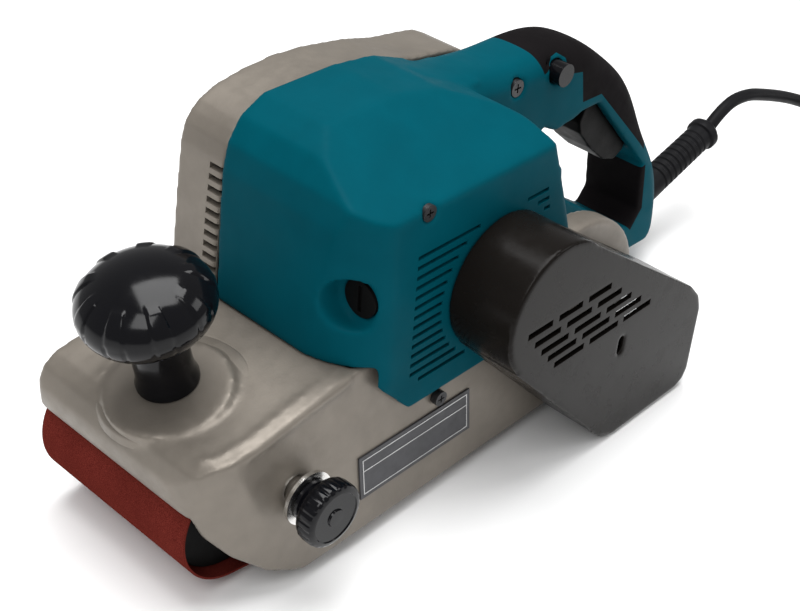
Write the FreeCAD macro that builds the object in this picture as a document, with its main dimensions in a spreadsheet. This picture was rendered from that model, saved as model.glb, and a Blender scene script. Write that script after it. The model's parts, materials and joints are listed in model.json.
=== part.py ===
# Handheld belt sander for 100 x 610 mm belts, as an assembly of separate pieces.
# Frame: X runs from the nose (-X) to the handle (+X), the drive side is -Y, the flush side is +Y, Z is up.
# The origin lies on the flat face of the sanding belt, midway between the two belt rollers. Millimetres.
import FreeCAD, Part
import math
import os
import re
import Sketcher

Vector = FreeCAD.Vector
Rotation = FreeCAD.Rotation

SIZES = {
    # sanding belt and the two rollers that it runs on
    "belt_width": 100.0,
    "belt_thick": 1.0,
    "belt_radius": 32.0,
    "belt_gap": 0.8,
    "roller_reach": 103.0,
    "roller_height": 38.0,
    "platen_reach": 68.0,
    # main casting
    "flank_face": -72.4,
    "flank_rise": 0.11,
    "flush_face": 50.0,
    "deck_top": 94.5,
    "flank_foot": 7.0,
    "nose_reach": 135.5,
    "dome_radius": 52.0,
    # motor and its housing
    "motor_x": 20.0,
    "motor_height": 127.0,
    "stator_radius": 41.0,
    "house_front": -56.0,
    "house_near": -69.5,
    "house_far": 20.0,
    "house_top": 191.0,
    "cover_far": 50.0,
    # drive train under the hood
    "counter_x": 36.5,
    "counter_height": 110.4,
    "gear_module": 0.9,
    "hood_face": -106.0,
    "hood_radius": 34.0,
    "hood_wall": 2.5,
    # handle
    "grip_near": -22.0,
    "grip_far": 18.0,
    "grip_wall": 4.0,
    "grip_round": 13.0,
    "rubber_thick": 2.2,
    # front knob
    "knob_x": -105.0,
    "knob_y": -6.0,
    "knob_foot": 88.75,
    "knob_lean": 12.0,
    "knob_radius": 30.0,
    # tracking knob
    "tracking_x": -85.0,
    "tracking_height": 53.0,
    # mains cord
    "cord_diameter": 8.0,
}

doc = FreeCAD.newDocument("belt_sander")
sheet = doc.addObject("Spreadsheet::Sheet", "Sizes")
for row, (alias, number) in enumerate(SIZES.items(), 1):
    sheet.set(f"A{row}", alias)
    sheet.set(f"B{row}", str(number))
    sheet.setAlias(f"B{row}", alias)
doc.recompute()

parts = {}


def bound(text):
    """The same formula with every size name pointed at the spreadsheet."""
    def point_at(match):
        name = match.group(0)
        return "Sizes." + name if name in SIZES else name
    return re.sub(r"[a-z_]{4,}", point_at, str(text))


def size(text):
    """What a formula of size names comes to."""
    return float(sheet.evalExpression(bound(text)))


def new_body(label):
    body = doc.addObject("PartDesign::Body", label)
    body.Label = label
    parts[label] = body
    return body


def keep(label, feature):
    feature.Label = label
    parts[label] = feature
    return feature


def solid(label, shape, placement=None):
    """A piece whose outline is worked out in code from the sizes."""
    feature = doc.addObject("Part::Feature", label)
    feature.Shape = shape
    if placement:
        feature.Placement = placement
    return keep(label, feature)


def sketch_on(body, role, offset):
    planes = [item for item in body.Origin.OriginFeatures if item.Role == role]
    sketch = body.newObject("Sketcher::SketchObject", "Sketch")
    sketch.AttachmentSupport = (planes[0], [""])
    sketch.MapMode = "FlatFace"
    sketch.setExpression(".AttachmentOffset.Base.z", bound(offset))
    return sketch


def pin_point(sketch, geometry, which, name, point):
    for axis, text in zip("XY", point):
        index = sketch.addConstraint(
            Sketcher.Constraint("Distance" + axis, -1, 1, geometry, which, size(text)))
        sketch.renameConstraint(index, axis + name)
        sketch.setExpression("Constraints." + axis + name, bound(text))


def add_outline(sketch, points):
    """A closed outline of straight sides through points given as pairs of formulas."""
    first = sketch.GeometryCount
    ends = [Vector(size(u), size(v), 0) for u, v in points]
    count = len(ends)
    for i in range(count):
        sketch.addGeometry(Part.LineSegment(ends[i], ends[(i + 1) % count]), False)
    for i in range(count):
        sketch.addConstraint(Sketcher.Constraint("Coincident", first + i, 2, first + (i + 1) % count, 1))
    for i, point in enumerate(points):
        pin_point(sketch, first + i, 1, f"p{first + i}", point)


def add_circle(sketch, centre, radius):
    middle = Vector(size(centre[0]), size(centre[1]), 0)
    index = sketch.addGeometry(Part.Circle(middle, Vector(0, 0, 1), size(radius)), False)
    pin_point(sketch, index, 3, f"c{index}", centre)
    limit = sketch.addConstraint(Sketcher.Constraint("Radius", index, size(radius)))
    sketch.renameConstraint(limit, f"r{index}")
    sketch.setExpression(f"Constraints.r{index}", bound(radius))


def fill_sketch(sketch, outlines=(), circles=()):
    for points in outlines:
        add_outline(sketch, points)
    for centre, radius in circles:
        add_circle(sketch, centre, radius)


def extrude(body, kind, role, start, length, outlines=(), circles=(), reverse=False):
    sketch = sketch_on(body, role, start)
    fill_sketch(sketch, outlines, circles)
    feature = body.newObject("PartDesign::" + kind, kind)
    feature.Profile = sketch
    feature.Reversed = reverse
    feature.setExpression("Length", bound(length))
    sketch.Visibility = False
    return feature


def pad_y(body, low, high, outlines=(), circles=()):
    """Material between two Y values, drawn in X and Z."""
    return extrude(body, "Pad", "XZ_Plane", f"-({high})", f"({high}) - ({low})", outlines, circles)


def cut_y(body, low, high, outlines=(), circles=()):
    """A pocket between two Y values, drawn in X and Z."""
    before = measured(body)
    feature = extrude(body, "Pocket", "XZ_Plane", f"-({high})", f"({high}) - ({low})",
                      outlines, circles, True)
    return cut_checked(body, feature, before)


def cut_x(body, low, high, outlines=(), circles=()):
    """A pocket between two X values, drawn in Y and Z."""
    before = measured(body)
    feature = extrude(body, "Pocket", "YZ_Plane", low, f"({high}) - ({low})", outlines, circles, True)
    return cut_checked(body, feature, before)


def cut_z(body, low, high, outlines=(), circles=()):
    """A pocket between two Z values, drawn in X and Y."""
    before = measured(body)
    feature = extrude(body, "Pocket", "XY_Plane", low, f"({high}) - ({low})", outlines, circles, True)
    return cut_checked(body, feature, before)


def measured(body):
    doc.recompute()
    return body.Shape.Volume


def cut_checked(body, feature, before):
    doc.recompute()
    if before - body.Shape.Volume < 0.01:
        print("cut removed nothing:", body.Label, feature.Name)
    return feature


def box_points(left, right, low, high):
    return [(left, low), (right, low), (right, high), (left, high)]


def place(feature, x="0", y="0", z="0"):
    for axis, text in zip("xyz", (x, y, z)):
        feature.setExpression(".Placement.Base." + axis, bound(text))


def turned_y(label, profile, x, z):
    """A round piece about an axis along Y; the profile is pairs of radius and Y."""
    body = new_body(label)
    sketch = sketch_on(body, "XY_Plane", "0")
    add_outline(sketch, profile)
    turn = body.newObject("PartDesign::Revolution", "Revolution")
    turn.Profile = sketch
    turn.ReferenceAxis = (sketch, ["V_Axis"])
    turn.Angle = 360
    place(body, x, "0", z)
    return body


def ring_y(label, inner, outer, low, high, x, z):
    return turned_y(label, [(inner, low), (outer, low), (outer, high), (inner, high)], x, z)


def rings(label, inner, outer, spans, x, z):
    """Several equal rings on one axis along Y, kept in one node."""
    shapes = []
    for low, high in spans:
        ring = Part.makeCylinder(size(outer), high - low, Vector(size(x), low, size(z)), Vector(0, 1, 0))
        bore = Part.makeCylinder(size(inner), high - low, Vector(size(x), low, size(z)), Vector(0, 1, 0))
        shapes.append(ring.cut(bore))
    return solid(label, Part.makeCompound(shapes))


def cylinder_y(radius, low, high, x, z):
    return Part.makeCylinder(radius, high - low, Vector(x, low, z), Vector(0, 1, 0))


def screw_shape(head_radius, head_height, shank_radius, shank_length):
    """A pan-head screw along +Z with its head below zero and a cross recess."""
    head = Part.makeCylinder(head_radius, head_height, Vector(0, 0, -head_height))
    shank = Part.makeCylinder(shank_radius, shank_length)
    body = head.fuse(shank)
    for turn in (0, 90):
        slot = Part.makeBox(head_radius * 1.1, head_radius * 0.22, head_height * 0.6,
                            Vector(-head_radius * 0.55, -head_radius * 0.11, -head_height))
        slot.rotate(Vector(0, 0, 0), Vector(0, 0, 1), turn)
        body = body.cut(slot)
    return body.removeSplitter()


def screws(label, places, head_radius, head_height, shank_radius, shank_length):
    """Identical screws in one node; each place is a point and the direction that the screw is driven."""
    shapes = []
    for point, direction in places:
        shape = screw_shape(head_radius, head_height, shank_radius, shank_length)
        turn = Rotation(Vector(0, 0, 1), Vector(*direction))
        shape.Placement = FreeCAD.Placement(Vector(*point), turn)
        shapes.append(shape)
    return solid(label, Part.makeCompound(shapes))


# ---------------------------------------------------------------- main casting
def make_main_frame():
    frame = new_body("main_frame")
    nose_low = "roller_height + 21.5"
    outline = [
        ("-nose_reach + 1", nose_low), ("-nose_reach", "66"), ("-nose_reach", "70"), ("-131", "79"),
        ("-124", "83.5"),
        ("-56", "deck_top"), ("104", "deck_top"), ("128", "87"), ("141", "72"), ("146", "54"), ("146", "22"),
        ("138", "flank_foot"), ("-84", "flank_foot"), ("-103", "17"), ("-118", "31"), ("-128", "45"),
    ]
    pad_y(frame, "flank_face", "flush_face", [outline])
    # the flank leans out towards its foot
    lean = [("flank_face - 10", "-1"), ("flank_face", "-1"), ("flank_face + flank_rise * 121", "120"),
            ("flank_face - 10", "120")]
    cut_x(frame, "-140", "160", [lean])
    # plan view of the nose: both corners are drawn in
    near_corner = [("-140", "flank_face - 5"), ("-84", "flank_face - 5"), ("-84", "flank_face"),
                   ("-100", "-69"), ("-114", "-64.5"), ("-124", "-60"), ("-130.5", "-54.8"),
                   ("-133.5", "-49"), ("-nose_reach - 0.5", "-40"), ("-140", "-40")]
    far_corner = [("-140", "flush_face + 1"), ("-140", "45"), ("-nose_reach - 0.5", "45"),
                  ("-nose_reach + 2", "flush_face + 1")]
    cut_z(frame, "0", "120", [near_corner])
    cut_z(frame, "0", "120", [far_corner])
    # the space that the belt runs in, open below and on the flush side
    cavity = [
        ("-nose_reach + 3.3", "-1"), ("-nose_reach + 3.3", "56"), ("-nose_reach + 4.5", "56"),
        ("-nose_reach + 4.5", "64"), ("-126", "74"), ("-119", "78"), ("-58", "87"),
        ("-52", "76"), ("98", "76"), ("119", "72"), ("134", "60"), ("141", "46"), ("141", "-1"),
    ]
    cut_y(frame, "-52", "flush_face + 5", [cavity])
    # hollow behind the flank, round the roller ends
    hollow = [("-76", "-1"), ("-84", "16"), ("-108", "38"), ("-114", "56"), ("-106", "70"), ("-30", "76"),
              ("-20", "52"), ("70", "52"), ("78", "-1")]
    cut_y(frame, "-60", "-51.5", [hollow])
    # shallow well under the motor
    cut_z(frame, "80", "deck_top + 1", [box_points("-46", "84", "-58", "16")])
    # drive bearing boss and the round end of the flank
    pad_y(frame, "flank_face + 6.4", "-52", (), [(("roller_reach + 3", "54"), "dome_radius")])
    cut_y(frame, "-110", "-20", [box_points("40", "170", "-20", "flank_foot")])
    pad_y(frame, "-70.6", "-52", (), [(("roller_reach", "roller_height"), "21")])
    cut_y(frame, "-71", "-50", (), [(("roller_reach", "roller_height"), "16")])
    # box between the two runs of the belt
    pad_y(frame, "-60", "32", [box_points("-46", "60", "14", "62")])
    cut_y(frame, "-54", "27", [box_points("-50", "54", "19", "57")])
    # seat of the front knob, square to the sloping deck
    seat = sketch_on(frame, "XY_Plane", "0")
    slope = FreeCAD.Rotation(Vector(0, 1, 0), -size("knob_lean"))
    seat.AttachmentOffset = FreeCAD.Placement(Vector(size("knob_x"), size("knob_y"), 86.0), slope)
    seat.setExpression(".AttachmentOffset.Base.x", bound("knob_x"))
    seat.setExpression(".AttachmentOffset.Base.y", bound("knob_y"))
    seat.setExpression(".AttachmentOffset.Base.z", bound("knob_foot - 7.75"))
    add_circle(seat, ("-1", "-3"), "29")
    ring = frame.newObject("PartDesign::Pad", "Pad")
    ring.Profile = seat
    ring.Length = 7.5
    doc.recompute()
    # bores of the tracking screw, of the bolt and of the knob's stud, and a slot for the slide's hook
    cut_y(frame, "-75", "-66", (), [(("4", "56"), "4.1")])
    cut_y(frame, "-66.1", "-60.5", (), [(("4", "56"), "1.95")])
    cut_y(frame, "-75", "-50", (), [(("tracking_x", "tracking_height"), "6.2")])
    cut_z(frame, "70", "95", (), [(("knob_x + 1", "knob_y"), "6.2")])
    cut_y(frame, "26", "33", [box_points("-39", "-12", "29.5", "46.5")])
    return frame


# ---------------------------------------------------------------- sanding belt, platen and rollers
def tangent_point(centre, radius, point, side):
    """Where a line from the point touches the circle; side picks the left or right line."""
    away = math.atan2(point[1] - centre[1], point[0] - centre[0])
    reach = math.hypot(point[0] - centre[0], point[1] - centre[1])
    turn = away + side * math.acos(radius / reach)
    return Vector(centre[0] + radius * math.cos(turn), 0, centre[1] + radius * math.sin(turn))


def belt_face(offset):
    """The outline of the sanding belt, drawn in by an offset."""
    reach, height = size("roller_reach"), size("roller_height")
    radius, platen = size("belt_radius") - offset, size("platen_reach")
    low = offset
    front, rear = (-reach, height), (reach, height)
    front_touch = tangent_point(front, radius, (-platen, low), -1)
    rear_touch = tangent_point(rear, radius, (platen, low), 1)
    front_top, rear_top = Vector(-reach, 0, height + radius), Vector(reach, 0, height + radius)
    edges = [
        Part.LineSegment(rear_top, front_top).toShape(),
        Part.Arc(front_top, Vector(-reach - radius, 0, height), front_touch).toShape(),
        Part.LineSegment(front_touch, Vector(-platen, 0, low)).toShape(),
        Part.LineSegment(Vector(-platen, 0, low), Vector(platen, 0, low)).toShape(),
        Part.LineSegment(Vector(platen, 0, low), rear_touch).toShape(),
        Part.Arc(rear_touch, Vector(reach + radius, 0, height), rear_top).toShape(),
    ]
    return Part.Face(Part.Wire(edges))


def make_belt():
    width = size("belt_width")
    outer = belt_face(0).extrude(Vector(0, width, 0))
    inner = belt_face(size("belt_thick")).extrude(Vector(0, width, 0))
    band = outer.cut(inner)
    band.translate(Vector(0, -width / 2, 0))
    solid("sanding_belt", band)


def make_platen():
    layers = [("graphite_cover", "belt_thick + 0.2", "belt_thick + 1.2", "platen_reach - 4"),
              ("platen_plate", "belt_thick + 1.2", "belt_thick + 3.7", "platen_reach - 5"),
              ("cork_pad", "belt_thick + 3.7", "14", "platen_reach - 14")]
    for label, low, high, reach in layers:
        body = new_body(label)
        pad_y(body, "-48", "48", [box_points(f"-({reach})", reach, low, high)])
        doc.recompute()


def make_front_roller():
    radius = "belt_radius - belt_thick - belt_gap - 0.4"
    turned_y("front_roller", [("11", "-43"), (radius, "-43"), (radius, "43"), ("11", "43"), ("11", "34"),
                              ("7", "34"), ("7", "-34"), ("11", "-34")], "-roller_reach", "roller_height")
    rings("front_roller_bearings", "4", "10.95", [(-42, -35), (35, 42)], "-roller_reach", "roller_height")
    turned_y("front_axle", [("0", "-50"), ("3.95", "-50"), ("3.95", "50"), ("0", "50")],
             "-roller_reach", "roller_height")
    fork = new_body("roller_fork")
    pad_y(fork, "-49.5", "49.5", [box_points("-71", "-61", "30", "46")])
    for low, high in (("-49.5", "-44.5"), ("44.5", "49.5")):
        pad_y(fork, low, high, [box_points("-103", "-61", "29", "47")])
        pad_y(fork, low, high, (), [(("-roller_reach", "roller_height"), "9.5")])
    pad_y(fork, "-49.5", "-44.5",
          [box_points("tracking_x - 8", "tracking_x + 8", "40", "tracking_height + 4")])
    cut_z(fork, "20", "60", (), [(("-66", "0"), "4.05")])
    cut_y(fork, "-60", "60", (), [(("-roller_reach", "roller_height"), "4")])
    slide = new_body("tension_slide")
    pad_y(slide, "-9", "9", [box_points("-59", "36", "30", "46")])
    for low, high in (("46.6", "52"), ("24", "29.4")):
        pad_y(slide, "-9", "9", [box_points("-73.5", "-52", low, high)])
    pad_y(slide, "-9", "9", [box_points("-59", "-52", "24", "52")])
    pad_y(slide, "8", "40.5", [box_points("-25.6", "-19.5", "31", "45")])
    cut_z(slide, "20", "60", (), [(("-66", "0"), "4")])
    pin = new_body("fork_pivot_pin")
    extrude(pin, "Pad", "XY_Plane", "22", "32", (), [(("-66", "0"), "3.98")])
    spring = new_body("tension_spring")
    sleeve = sketch_on(spring, "YZ_Plane", "36.2")
    fill_sketch(sleeve, (), [(("0", "roller_height"), "9"), (("0", "roller_height"), "7")])
    coil = spring.newObject("PartDesign::Pad", "Pad")
    coil.Profile = sleeve
    coil.Length = 17.6


def make_tension_lever():
    """The lever stands in the open side of the belt loop and swings out about an upright pin."""
    lever = new_body("tension_lever")
    extrude(lever, "Pad", "XY_Plane", "31", "14", (), [(("-34", "40"), "7")])
    extrude(lever, "Pad", "XY_Plane", "31", "14", [box_points("-30", "34", "41", "46.5")])
    extrude(lever, "Pad", "XY_Plane", "31", "14", (), [(("34", "42.5"), "4")])
    cut_z(lever, "20", "60", (), [(("-30", "40"), "3.05")])
    pin = new_body("lever_pin")
    extrude(pin, "Pad", "XY_Plane", "24", "28", (), [(("-30", "40"), "3")])
    bracket = new_body("lever_bracket")
    for low, high in (("24.2", "30.4"), ("45.6", "51.8")):
        pad_y(bracket, "32.02", "46", [box_points("-38", "-20", low, high)])
    cut_z(bracket, "20", "60", (), [(("-30", "40"), "3")])


def make_drive_drum():
    drum_z = "roller_height"
    rubber = "belt_radius - belt_thick - belt_gap"
    turned_y("drive_drum", [("6", "-49"), ("27", "-49"), ("27", "49"), ("22", "49"), ("22", "-36"),
                            ("13", "-40"), ("13", "20"), ("6", "20")], "roller_reach", drum_z)
    ring_y("drum_lagging", "27", rubber, "-49", "49", "roller_reach", drum_z)
    turned_y("drum_shaft", [("0", "-97"), ("5.98", "-97"), ("5.98", "24"), ("0", "24")],
             "roller_reach", drum_z)
    rings("drum_bearings", "6", "15.98", [(-70, -60), (-59, -51)], "roller_reach", drum_z)
    turned_y("drum_pulley", [("6", "-96"), ("24", "-96"), ("24", "-95"), ("21.6", "-95"), ("21.6", "-85"),
                             ("24", "-85"), ("24", "-84"), ("12", "-84"), ("12", "-76"), ("6", "-76")],
             "roller_reach", drum_z)
    turned_y("drum_nut", [("6", "-101"), ("9.5", "-101"), ("9.5", "-96.1"), ("6", "-96.1")],
             "roller_reach", drum_z)


def make_tracking():
    x, z = "tracking_x", "tracking_height"
    turned_y("tracking_collar", [("4.1", "-74"), ("13", "-74"), ("13", "-72.2"), ("11", "-70.2"),
                                 ("9", "-68.2"), ("6.1", "-68.2"), ("6.1", "-58"), ("4.1", "-58")], x, z)
    turned_y("tracking_knob", [("4", "-90.5"), ("13.5", "-90.5"), ("15.5", "-88.6"), ("15.5", "-78"),
                               ("13", "-76"), ("9", "-74.4"), ("4", "-74.4")], x, z)
    turned_y("tracking_screw", [("0", "-90.7"), ("3.98", "-90.7"), ("3.98", "-56"), ("2.5", "-51"),
                                ("0", "-50")], x, z)


# ---------------------------------------------------------------- motor
def make_motor():
    x, z = "motor_x", "motor_height"
    ring_y("armature_core", "5", "24", "-40", "10", x, z)
    ring_y("commutator", "5", "13", "-62", "-49", x, z)
    windings = [(-48, -40.1), (10.1, 17)]
    rings("armature_windings", "5", "21", windings, x, z)
    rings("motor_bearings", "5", "12.98", [(-69.2, -63), (36, 45)], x, z)
    stator = new_body("stator")
    pad_y(stator, "-38", "8", (), [((x, z), "stator_radius"), ((x, z), "24.6")])
    make_fan()
    holders = []
    brushes = []
    caps = []
    for side in (-1, 1):
        axis = Vector(side, 0, 0)
        centre = Vector(size(x), -56, size(z))
        tube = Part.makeCylinder(6.5, 41, centre + axis * 14, axis)
        block = Part.makeBox(60, 6.4, 9.4, centre - Vector(30, 3.2, 4.7))
        block.translate(axis * 40)
        holders.append(tube.cut(block))
        brush = Part.makeBox(16, 6, 9, centre - Vector(8, 3, 4.5))
        brush.translate(axis * 21.5)
        brushes.append(brush)
        cap = Part.makeCylinder(9, 4.5, centre + axis * 56, axis)
        slot = Part.makeBox(3, 2.2, 13, centre + axis * 60.5 - Vector(1.5, 1.1, 6.5))
        caps.append(cap.cut(slot))
    solid("brush_holders", Part.makeCompound(holders))
    solid("carbon_brushes", Part.makeCompound(brushes))
    solid("brush_caps", Part.makeCompound(caps))


def make_fan():
    x, z = size("motor_x"), size("motor_height")
    hub = cylinder_y(10, 20, 33, x, z).fuse(cylinder_y(29.4, 31, 33, x, z))
    blade_count = 9
    for i in range(blade_count):
        blade = Part.makeBox(20, 10.5, 1.6, Vector(x + 9, 21, z - 0.8))
        blade.rotate(Vector(x, 0, z), Vector(0, 1, 0), 360.0 * i / blade_count)
        hub = hub.fuse(blade)
    hub = hub.cut(cylinder_y(5, 18, 36, x, z))
    solid("cooling_fan", hub.removeSplitter())


# ---------------------------------------------------------------- gears and toothed belt
def gear_face(teeth, bore, turn):
    """A spur gear outline from involute flanks, drawn in X and Z about the origin."""
    module = size("gear_module")
    pitch = module * teeth / 2
    pressure = math.radians(20)
    base = pitch * math.cos(pressure)
    tip = pitch + module * 0.85
    root = pitch - module * 1.2
    backlash = 0.05
    half = math.pi / (2 * teeth) - backlash / pitch + math.tan(pressure) - pressure
    start = max(base, root)
    points = []
    for tooth in range(teeth):
        middle = turn + 2 * math.pi * tooth / teeth
        flank = []
        for step in range(5):
            radius = start + (tip - start) * step / 4
            roll = math.acos(min(1.0, base / radius))
            flank.append((radius, half - (math.tan(roll) - roll)))
        if root < start:
            flank.insert(0, (root, flank[0][1]))
        for radius, angle in flank:
            points.append((radius, middle - angle))
        for radius, angle in reversed(flank):
            points.append((radius, middle + angle))
    ends = [Vector(r * math.cos(a), 0, r * math.sin(a)) for r, a in points]
    ends.append(ends[0])
    face = Part.Face(Part.makePolygon(ends))
    if bore:
        face = face.cut(Part.Face(Part.Wire(Part.makeCircle(bore, Vector(0, 0, 0), Vector(0, 1, 0)))))
    return face


def make_train():
    mx, mz = size("motor_x"), size("motor_height")
    cx, cz = size("counter_x"), size("counter_height")
    line = math.atan2(cz - mz, cx - mx)
    pinion_teeth, gear_teeth = 12, 40
    width = 7.0
    low = size("house_near") - 0.5 - width
    pinion = gear_face(pinion_teeth, 0, line).extrude(Vector(0, width, 0))
    pinion.translate(Vector(mx, low - 1, mz))
    # the pinion is cut on the end of the armature's shaft
    shaft = pinion.fuse(cylinder_y(4, low - 1.5, -68.4, mx, mz)).fuse(cylinder_y(4.98, -68.4, 44.9, mx, mz))
    solid("armature_shaft", shaft.removeSplitter())
    # a gap of the large gear faces the pinion's tooth
    gear = gear_face(gear_teeth, 4.0, line + math.pi + math.pi / gear_teeth).extrude(Vector(0, width, 0))
    gear.translate(Vector(cx, low - 1, cz))
    solid("counter_gear", gear)
    turned_y("counter_shaft", [("0", "-99"), ("3.98", "-99"), ("3.98", "-63.2"), ("0", "-63.2")],
             "counter_x", "counter_height")
    turned_y("counter_pulley", [("4", "-96"), ("15", "-96"), ("15", "-95"), ("12.1", "-95"), ("12.1", "-85"),
                                ("15", "-85"), ("15", "-84"), ("4", "-84")], "counter_x", "counter_height")
    rings("counter_bearings", "4", "7.98", [(-69.2, -64.2), (-98.9, -96.3)], "counter_x", "counter_height")
    make_toothed_belt()


def hull_face(circles):
    """The outline of a belt drawn tight round two circles, each given as x, z and radius."""
    (ax, az, ar), (bx, bz, br) = circles
    line = math.atan2(bz - az, bx - ax)
    reach = math.hypot(bx - ax, bz - az)
    lean = math.acos((ar - br) / reach)

    def spot(x, z, radius, angle):
        return Vector(x + radius * math.cos(angle), 0, z + radius * math.sin(angle))

    upper, lower = line + lean, line - lean
    edges = [
        Part.LineSegment(spot(ax, az, ar, upper), spot(bx, bz, br, upper)).toShape(),
        Part.Arc(spot(bx, bz, br, upper), spot(bx, bz, br, line), spot(bx, bz, br, lower)).toShape(),
        Part.LineSegment(spot(bx, bz, br, lower), spot(ax, az, ar, lower)).toShape(),
        Part.Arc(spot(ax, az, ar, lower), spot(ax, az, ar, line + math.pi),
                 spot(ax, az, ar, upper)).toShape(),
    ]
    return Part.Face(Part.Wire(edges))


def make_toothed_belt():
    small = (size("counter_x"), size("counter_height"))
    large = (size("roller_reach"), size("roller_height"))
    gap, thick = 0.35, 2.0
    inner = hull_face([(*small, 12.1 + gap), (*large, 21.6 + gap)])
    outer = hull_face([(*small, 12.1 + gap + thick), (*large, 21.6 + gap + thick)])
    band = outer.cut(inner).extrude(Vector(0, 9, 0))
    band.translate(Vector(0, -94.5, 0))
    solid("toothed_belt", band)


# ---------------------------------------------------------------- motor housing and far cover
def louvre_rows():
    """Level cooling slots, as wide as the cup of the hood leaves room for."""
    first, last, pitch, half = 72.0, 148.0, 5.2, 1.1
    cup_x, cup_z, clear = size("counter_x"), size("counter_height"), size("hood_radius") + 4
    rows = []
    count = int((last - first) / pitch) + 1
    for i in range(count):
        z = first + i * pitch
        low, high = f"{z - half:.2f}", f"{z + half:.2f}"
        left = -20.0 if z > 80 else -14.0
        right = 76.0 - (z - 112) * 0.25
        if abs(z - cup_z) >= clear:
            if z > cup_z:
                rows.append(box_points(f"{left:.1f}", f"{right:.1f}", low, high))
            continue
        reach = math.sqrt(clear ** 2 - (z - cup_z) ** 2)
        if cup_x - reach - left > 4:
            rows.append(box_points(f"{left:.1f}", f"{cup_x - reach:.2f}", low, high))
        if z > 124 and right - cup_x - reach > 4:
            rows.append(box_points(f"{cup_x + reach:.2f}", f"{right:.1f}", low, high))
    return rows


def make_motor_housing():
    housing = new_body("motor_housing")
    rest = "deck_top + 0.1"
    x, z = "motor_x", "motor_height"
    outline = [("house_front", rest), ("house_front + 0.5", "106"), ("house_front + 2.5", "140"),
               ("house_front + 4.5", "162"), ("-48.5", "174"), ("-41", "184.5"), ("-28", "house_top"),
               ("15", "house_top"), ("39", "188"), ("60", "180"), ("68", "174.5"), ("85", "129"),
               ("93", "106"), ("95", rest)]
    pad_y(housing, "house_near", "house_far - 0.1", [outline])
    apron = [("-50", rest), ("-36", "81"), ("-18", "62"), ("98", "62"), ("95", rest)]
    pad_y(housing, "house_near", "-66.2", [apron])
    # the roof falls towards the near side
    roof = [("house_near - 1", "167"), ("-40", "181"), ("-20", "house_top + 0.1"), ("-20", "house_top + 5"),
            ("house_near - 1", "house_top + 5")]
    cut_x(housing, "-70", "110", [roof])
    # the near front edge is rounded in plan, up to a crease in the near face
    corner = [("-70", "-34"), ("house_front - 0.5", "-34"), ("-54.8", "-42"), ("-52.2", "-50"),
              ("-48", "-57.5"), ("-43", "-63.5"), ("-38.8", "-67"), ("-34", "house_near"),
              ("-34", "house_near - 2"), ("-70", "house_near - 2")]
    cut_z(housing, "60", "200", [corner])
    # hollow for the motor
    wide = [("-52", "90"), ("-52", "106"), ("-50", "140"), ("-47", "162"), ("-41", "174"), ("-33", "178"),
            ("38", "178"), ("55", "172"), ("63", "166"), ("80", "128"), ("88", "106"), ("90", "90")]
    cut_y(housing, "-38.5", "house_far + 1", [wide])
    narrow = [("-34", "90"), ("-34", "163"), ("56", "163"), ("72", "127"), ("84", "104"), ("86", "90")]
    cut_y(housing, "-62.6", "-38", [narrow])
    # round end of the casting's flank stands inside the wall
    cut_y(housing, "-66.1", "-51", (), [(("roller_reach + 3", "54"), "dome_radius + 0.3")])
    # seats of the shaft bearings and ways out for the shafts
    cut_y(housing, "-69.3", "-62", (), [((x, z), "13")])
    cut_y(housing, "-70", "-69", (), [((x, z), "8")])
    cut_y(housing, "-69.3", "-62", (), [(("counter_x", "counter_height"), "8")])
    cut_y(housing, "-70", "-69", (), [(("counter_x", "counter_height"), "6")])
    # brush holders and their caps, front and rear, and the round recess of the front cap
    for low, high, radius in (("-60", "-33", "6.6"), ("-60", "-35.6", "9.2"), ("60", "100", "6.6"),
                              ("75.6", "100", "9.2")):
        cut_x(housing, low, high, (), [(("-56", z), radius)])
    cut_x(housing, "-60", "-40.5", (), [(("-57", z), "12.8")])
    cut_y(housing, "house_near - 0.5", "house_near + 2", louvre_rows())
    cut_y(housing, "house_near - 0.5", "house_near + 2.5", (), [(("-14.5", "165"), "4.2")])
    cut_y(housing, "house_near + 2", "-60.8", (), [(("-14.5", "165"), "1.65")])
    return housing


def cover_screw_places():
    return [(-44, 104), (-38, 168), (108, 106), (98, 160)]


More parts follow.
